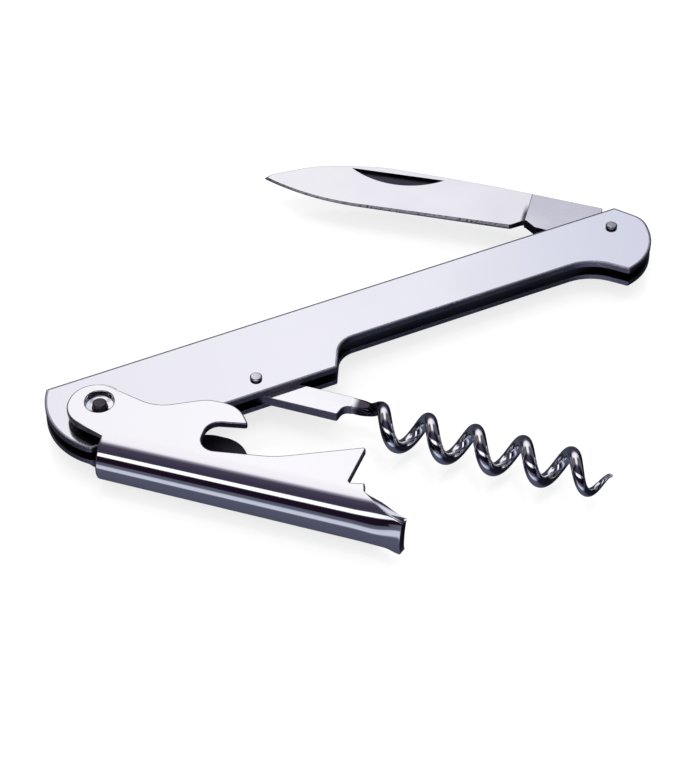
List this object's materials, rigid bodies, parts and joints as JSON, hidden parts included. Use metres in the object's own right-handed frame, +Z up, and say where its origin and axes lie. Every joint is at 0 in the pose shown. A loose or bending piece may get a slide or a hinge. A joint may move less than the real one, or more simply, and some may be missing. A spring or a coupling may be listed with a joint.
{
  "type": "lever corkscrew",
  "caption": "Folding waiter's corkscrew in chromed steel: slim slotted handle, boxing lever with cap lifter, wire worm with a flat shank and a foil blade, each on its own pin.",
  "frame": {"origin": "centre of the part's box in plan, on the plane it lies on, in its half-open pose", "axes": "X runs along the handle from the lever pin's end to the blade pin's end, Y points to the handle's straight back edge, Z goes up through the pins"},
  "size_m": [0.109, 0.088, 0.0101],
  "materials": {
    "handle_plate": "bright chrome plate over punched steel sheet, fine polish lines along the handle",
    "spring_steel": "hardened spring steel, dull grey in the slot",
    "pin_steel": "riveted pin ends, turned and slightly dark",
    "lever_sheet": "mirror chrome over pressed sheet",
    "worm_wire": "polished plated wire with a satin flat shank",
    "blade_steel": "ground blade, brushed across at the tang"
  },
  "bodies": {
    "handle": {"upper_side_plate": "handle_plate", "lower_side_plate": "handle_plate", "leaf_spring": "spring_steel", "lever_pin": "pin_steel", "worm_pin": "pin_steel", "blade_pin": "pin_steel"},
    "lever": {"boxing_lever": "lever_sheet"},
    "worm": {"worm": "worm_wire"},
    "blade": {"foil_blade": "blade_steel"}
  },
  "joints": [
    {"name": "lever_pivot", "type": "hinge", "parent": "handle", "child": "lever", "pos_m": [-0.04644, 0.00128, 0.00506], "axis": [0, 0, -1], "range_deg": [-41, 54]},
    {"name": "worm_pivot", "type": "hinge", "parent": "handle", "child": "worm", "pos_m": [-0.02104, -0.00222, 0.00506], "axis": [0, 0, -1], "range_deg": [-42.44, 55.89]},
    {"name": "blade_pivot", "type": "hinge", "parent": "handle", "child": "blade", "pos_m": [0.04856, 0.00548, 0.00506], "axis": [0, 0, -1], "range_deg": [-39, 141]}
  ],
  "couplings": [
    {"joint": "worm_pivot", "follows": "lever_pivot", "ratio": 1.035}
  ]
}
